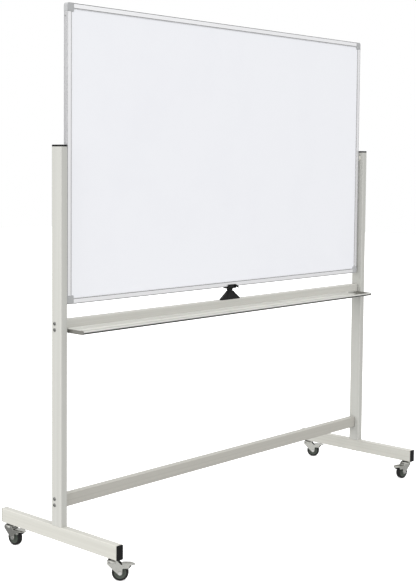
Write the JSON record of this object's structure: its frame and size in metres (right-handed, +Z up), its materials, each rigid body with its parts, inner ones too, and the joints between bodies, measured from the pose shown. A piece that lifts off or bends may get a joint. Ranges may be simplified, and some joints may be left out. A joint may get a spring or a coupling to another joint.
{
  "type": "rolling whiteboard",
  "caption": "Double-sided whiteboard in an aluminium frame that turns over between two steel posts, with a marker tray, a latch and swivel castors with brakes.",
  "frame": {"origin": "on the floor under the middle of the board's turning axis", "axes": "+X along the board to the viewer's right, the front faces -Y, +Z up"},
  "size_m": [1.6303, 0.5667, 1.7077],
  "materials": {
    "light_grey_paint": "fine satin powder coat",
    "black_plastic": "moulded, fine grain",
    "insert_plastic": "moulded",
    "zinc_steel": "bright zinc",
    "anodised_aluminium": "satin anodised, drawn along its length",
    "grey_plastic": "moulded, satin",
    "dark_strip": "soft extruded strip",
    "nylon": "natural nylon",
    "white_enamel": "glossy white enamel",
    "core_board": "fibreboard",
    "castor_steel": "zinc plated, bright",
    "hub_plastic": "moulded",
    "tyre_rubber": "smooth rubber"
  },
  "bodies": {
    "stand": {"post_left": "light_grey_paint", "post_right": "light_grey_paint", "foot_left": "light_grey_paint", "foot_right": "light_grey_paint", "post_caps": "black_plastic", "foot_end_caps": "black_plastic", "lower_crossbar": "light_grey_paint", "upper_crossbar": "light_grey_paint", "crossbar_inserts": "black_plastic", "crossbar_bolts": "zinc_steel", "post_base_inserts": "insert_plastic", "foot_bolts": "zinc_steel", "marker_tray": "anodised_aluminium", "tray_edge_strip": "dark_strip", "tray_end_cap_left": "grey_plastic", "tray_end_cap_right": "grey_plastic", "tray_screws": "zinc_steel", "pivot_bushes": "nylon", "latch_bracket": "black_plastic", "latch_screws": "zinc_steel", "castor_stems": "zinc_steel", "castor_nuts": "zinc_steel"},
    "board": {"writing_surface_front": "white_enamel", "writing_surface_rear": "white_enamel", "board_core": "core_board", "frame_rail_top": "anodised_aluminium", "frame_rail_bottom": "anodised_aluminium", "frame_rail_left": "anodised_aluminium", "frame_rail_right": "anodised_aluminium", "corner_cap_top_left": "grey_plastic", "corner_cap_top_right": "grey_plastic", "corner_cap_bottom_left": "grey_plastic", "corner_cap_bottom_right": "grey_plastic", "frame_screws": "zinc_steel", "pivot_blocks": "zinc_steel", "pivot_bolts": "zinc_steel", "pivot_spacers": "grey_plastic"},
    "latch_slider": {"latch_slider": "black_plastic", "latch_spring": "zinc_steel"},
    "castor_front_left": {"fork_front_left": "castor_steel", "axle_front_left": "zinc_steel"},
    "wheel_front_left": {"hub_front_left": "hub_plastic", "tyre_front_left": "tyre_rubber"},
    "brake_front_left": {"brake_pedal_front_left": "castor_steel"},
    "castor_front_right": {"fork_front_right": "castor_steel", "axle_front_right": "zinc_steel"},
    "wheel_front_right": {"hub_front_right": "hub_plastic", "tyre_front_right": "tyre_rubber"},
    "brake_front_right": {"brake_pedal_front_right": "castor_steel"},
    "castor_rear_left": {"fork_rear_left": "castor_steel", "axle_rear_left": "zinc_steel"},
    "wheel_rear_left": {"hub_rear_left": "hub_plastic", "tyre_rear_left": "tyre_rubber"},
    "brake_rear_left": {"brake_pedal_rear_left": "castor_steel"},
    "castor_rear_right": {"fork_rear_right": "castor_steel", "axle_rear_right": "zinc_steel"},
    "wheel_rear_right": {"hub_rear_right": "hub_plastic", "tyre_rear_right": "tyre_rubber"},
    "brake_rear_right": {"brake_pedal_rear_right": "castor_steel"}
  },
  "joints": [
    {"name": "board_turn", "type": "hinge", "parent": "stand", "child": "board", "pos_m": [0, 0, 1.2495], "axis": [1, 0, 0], "continuous": true},
    {"name": "latch_slide", "type": "slide", "parent": "stand", "child": "latch_slider", "axis": [0, 0, -1], "range_m": [0, 0.009], "stiffness_N_per_m": 500, "springref_m": -0.006, "deforming": ["latch_spring"]},
    {"name": "swivel_front_left", "type": "hinge", "parent": "stand", "child": "castor_front_left", "pos_m": [-0.785, -0.2405, 0.066], "axis": [0, 0, 1], "continuous": true},
    {"name": "roll_front_left", "type": "hinge", "parent": "castor_front_left", "child": "wheel_front_left", "pos_m": [-0.77028, -0.25685, 0.025], "axis": [0.7431, 0.6691, 0], "continuous": true},
    {"name": "pedal_front_left", "type": "hinge", "parent": "castor_front_left", "child": "brake_front_left", "pos_m": [-0.75551, -0.27325, 0.04287], "axis": [0.7431, 0.6691, 0], "range_deg": [0, 12]},
    {"name": "swivel_front_right", "type": "hinge", "parent": "stand", "child": "castor_front_right", "pos_m": [0.785, -0.2405, 0.066], "axis": [0, 0, 1], "continuous": true},
    {"name": "roll_front_right", "type": "hinge", "parent": "castor_front_right", "child": "wheel_front_right", "pos_m": [0.76316, -0.23782, 0.025], "axis": [-0.1219, -0.9925, 0], "continuous": true},
    {"name": "pedal_front_right", "type": "hinge", "parent": "castor_front_right", "child": "brake_front_right", "pos_m": [0.74126, -0.23513, 0.04287], "axis": [-0.1219, -0.9925, 0], "range_deg": [0, 12]},
    {"name": "swivel_rear_left", "type": "hinge", "parent": "stand", "child": "castor_rear_left", "pos_m": [-0.785, 0.2405, 0.066], "axis": [0, 0, 1], "continuous": true},
    {"name": "roll_rear_left", "type": "hinge", "parent": "castor_rear_left", "child": "wheel_rear_left", "pos_m": [-0.78308, 0.21858, 0.025], "axis": [0.9962, 0.0872, 0], "continuous": true},
    {"name": "pedal_rear_left", "type": "hinge", "parent": "castor_rear_left", "child": "brake_rear_left", "pos_m": [-0.78116, 0.1966, 0.04287], "axis": [0.9962, 0.0872, 0], "range_deg": [0, 12]},
    {"name": "swivel_rear_right", "type": "hinge", "parent": "stand", "child": "castor_rear_right", "pos_m": [0.785, 0.2405, 0.066], "axis": [0, 0, 1], "continuous": true},
    {"name": "roll_rear_right", "type": "hinge", "parent": "castor_rear_right", "child": "wheel_rear_right", "pos_m": [0.796, 0.22145, 0.025], "axis": [0.866, 0.5, 0], "continuous": true},
    {"name": "pedal_rear_right", "type": "hinge", "parent": "castor_rear_right", "child": "brake_rear_right", "pos_m": [0.80703, 0.20233, 0.04287], "axis": [0.866, 0.5, 0], "range_deg": [0, 12]}
  ]
}
